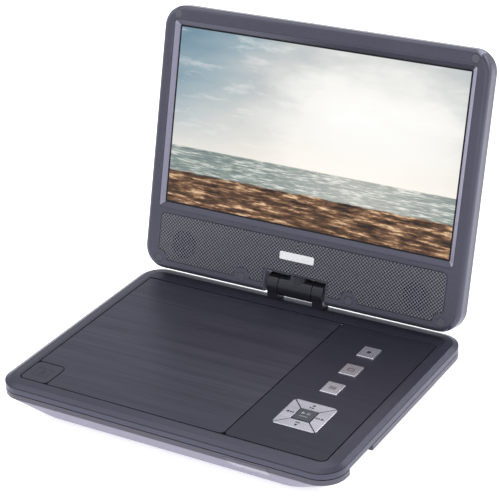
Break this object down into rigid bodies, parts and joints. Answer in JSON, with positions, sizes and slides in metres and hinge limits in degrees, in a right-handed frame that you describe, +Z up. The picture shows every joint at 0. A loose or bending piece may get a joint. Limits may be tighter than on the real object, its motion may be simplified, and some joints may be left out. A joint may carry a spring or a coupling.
{
  "type": "portable dvd player",
  "caption": "Clamshell portable disc player: flat base with a disc door and keys, and a widescreen lid on a hinge that tilts and swivels.",
  "frame": {"origin": "centre of the open player's footprint, on the surface it stands on", "axes": "+X to the user's right along the hinge, +Y away from the user, +Z up"},
  "size_m": [0.2246, 0.2158, 0.1924],
  "materials": {
    "rim_plastic": "fine satin, slightly metallic blue-grey",
    "shell_plastic": "fine satin, slightly metallic blue-grey",
    "port_plastic": "matt black",
    "window_plastic": "smoked gloss",
    "rubber": "matt black rubber",
    "screw_steel": "zinc plated",
    "deck_plastic": "matt black",
    "hub_plastic": "matt black",
    "mechanism_plastic": "matt black, glass filled",
    "polished_steel": "polished",
    "motor_metal": "rolled steel",
    "lens_glass": "coated lens",
    "door_plastic": "fine brushed lines across",
    "button_plastic": "fine satin",
    "plate_plastic": "smooth satin",
    "key_silver": "silver paint, fine flake",
    "key_dark": "dark gloss",
    "circuit_board": "green solder mask",
    "battery_wrap": "shrink sleeve",
    "switch_plastic": "matt black",
    "socket_metal": "plated sheet",
    "knob_plastic": "matt black",
    "hinge_plastic": "satin black",
    "bracket_steel": "pressed steel",
    "lid_plastic": "fine satin, slightly metallic blue-grey",
    "lid_back_plastic": "fine satin, slightly metallic blue-grey",
    "screen_glass": "anti-glare coated",
    "backlight_plastic": "white light guide",
    "speaker_plastic": "matt black",
    "speaker_cone": "treated paper",
    "grille_plastic": "fine dimples and holes",
    "badge_metal": "brushed plate"
  },
  "bodies": {
    "base": {"base_top_cover": "rim_plastic", "base_bottom_cover": "shell_plastic", "port_panel": "port_plastic", "ir_window": "window_plastic", "feet": "rubber", "base_screws": "screw_steel", "disc_deck": "deck_plastic", "traverse_frame": "mechanism_plastic", "guide_rod": "polished_steel", "sled_motor": "motor_metal", "spindle_motor": "motor_metal", "traverse_dampers": "rubber", "door_hinge_pins": "polished_steel", "latch_spring": "polished_steel", "control_plate": "plate_plastic", "main_board": "circuit_board", "battery_pack": "battery_wrap", "key_board": "circuit_board", "tact_switches": "switch_plastic", "audio_jacks": "port_plastic", "dc_jack": "port_plastic", "usb_socket": "socket_metal", "card_socket": "socket_metal", "power_switch_body": "switch_plastic", "volume_control": "switch_plastic", "hinge_mount": "hinge_plastic", "hinge_mount_screws": "screw_steel", "hinge_pin": "polished_steel"},
    "disc_door": {"disc_door": "door_plastic"},
    "open_button": {"open_button": "button_plastic"},
    "door_latch": {"door_latch": "mechanism_plastic"},
    "turntable": {"turntable": "hub_plastic"},
    "pickup": {"pickup_sled": "mechanism_plastic", "pickup_lens": "lens_glass"},
    "lead_screw": {"lead_screw": "screw_steel"},
    "volume_wheel": {"volume_wheel": "knob_plastic"},
    "power_slider": {"power_slider": "knob_plastic"},
    "tilt_barrel": {"hinge_barrel": "hinge_plastic", "swivel_post": "polished_steel"},
    "lid": {"lid_front_bezel": "lid_plastic", "lid_back_cover": "lid_back_plastic", "lcd_glass": "screen_glass", "lcd_frame": "bracket_steel", "backlight": "backlight_plastic", "lcd_board": "circuit_board", "speakers": "speaker_plastic", "speaker_cones": "speaker_cone", "speaker_grille": "grille_plastic", "badge": "badge_metal", "lid_screw_caps": "rubber", "lid_screws": "screw_steel", "swivel_bracket": "bracket_steel"},
    "button_1": {"button_1": "key_silver"},
    "button_2": {"button_2": "key_silver"},
    "button_3": {"button_3": "key_silver"},
    "key_up": {"key_up": "key_silver"},
    "key_left": {"key_left": "key_silver"},
    "key_down": {"key_down": "key_silver"},
    "key_right": {"key_right": "key_silver"},
    "key_enter": {"key_enter": "key_dark"}
  },
  "joints": [
    {"name": "lid_tilt", "type": "hinge", "parent": "base", "child": "tilt_barrel", "pos_m": [0, 0.05738, 0.0333], "axis": [-1, 0, 0], "range_deg": [-105.6, 29]},
    {"name": "lid_swivel", "type": "hinge", "parent": "tilt_barrel", "child": "lid", "pos_m": [0, 0.05738, 0.0333], "axis": [0, 0.2694, 0.963], "range_deg": [0, 180]},
    {"name": "disc_door", "type": "hinge", "parent": "base", "child": "disc_door", "pos_m": [-0.0317, 0.04142, 0.0241], "axis": [-1, 0, 0], "range_deg": [0, 70]},
    {"name": "open_button", "type": "slide", "parent": "base", "child": "open_button", "axis": [0, 0, -1], "range_m": [0, 0.0015], "stiffness_N_per_m": 500, "springref_m": -0.001, "deforming": ["latch_spring"]},
    {"name": "door_latch", "type": "slide", "parent": "base", "child": "door_latch", "axis": [0, -1, 0], "range_m": [0, 0.0015]},
    {"name": "button_1", "type": "slide", "parent": "base", "child": "button_1", "axis": [0, 0, -1], "range_m": [0, 0.0008], "stiffness_N_per_m": 600, "springref_m": -0.0008},
    {"name": "button_2", "type": "slide", "parent": "base", "child": "button_2", "axis": [0, 0, -1], "range_m": [0, 0.0008], "stiffness_N_per_m": 600, "springref_m": -0.0008},
    {"name": "button_3", "type": "slide", "parent": "base", "child": "button_3", "axis": [0, 0, -1], "range_m": [0, 0.0008], "stiffness_N_per_m": 600, "springref_m": -0.0008},
    {"name": "key_up", "type": "slide", "parent": "base", "child": "key_up", "axis": [0, 0, -1], "range_m": [0, 0.0008], "stiffness_N_per_m": 600, "springref_m": -0.0008},
    {"name": "key_left", "type": "slide", "parent": "base", "child": "key_left", "axis": [0, 0, -1], "range_m": [0, 0.0008], "stiffness_N_per_m": 600, "springref_m": -0.0008},
    {"name": "key_down", "type": "slide", "parent": "base", "child": "key_down", "axis": [0, 0, -1], "range_m": [0, 0.0008], "stiffness_N_per_m": 600, "springref_m": -0.0008},
    {"name": "key_right", "type": "slide", "parent": "base", "child": "key_right", "axis": [0, 0, -1], "range_m": [0, 0.0008], "stiffness_N_per_m": 600, "springref_m": -0.0008},
    {"name": "key_enter", "type": "slide", "parent": "base", "child": "key_enter", "axis": [0, 0, -1], "range_m": [0, 0.0008], "stiffness_N_per_m": 600, "springref_m": -0.0008},
    {"name": "turntable", "type": "hinge", "parent": "base", "child": "turntable", "pos_m": [-0.0317, -0.02788, 0.018], "axis": [0, 0, 1], "continuous": true},
    {"name": "pickup_slide", "type": "slide", "parent": "base", "child": "pickup", "axis": [0, -1, 0], "range_m": [0, 0.029]},
    {"name": "lead_screw", "type": "hinge", "parent": "base", "child": "lead_screw", "pos_m": [-0.0477, -0.06338, 0.0094], "axis": [0, 1, 0], "continuous": true},
    {"name": "volume_wheel", "type": "hinge", "parent": "base", "child": "volume_wheel", "pos_m": [0.0984, -0.07088, 0.0112], "axis": [0, 0, 1], "range_deg": [-150, 150]},
    {"name": "power_slider", "type": "slide", "parent": "base", "child": "power_slider", "axis": [0, 1, 0], "range_m": [0, 0.003]}
  ],
  "couplings": [
    {"joint": "door_latch", "follows": "open_button", "ratio": 1},
    {"joint": "lead_screw", "follows": "pickup_slide", "rad_per_m": 2094.4}
  ]
}
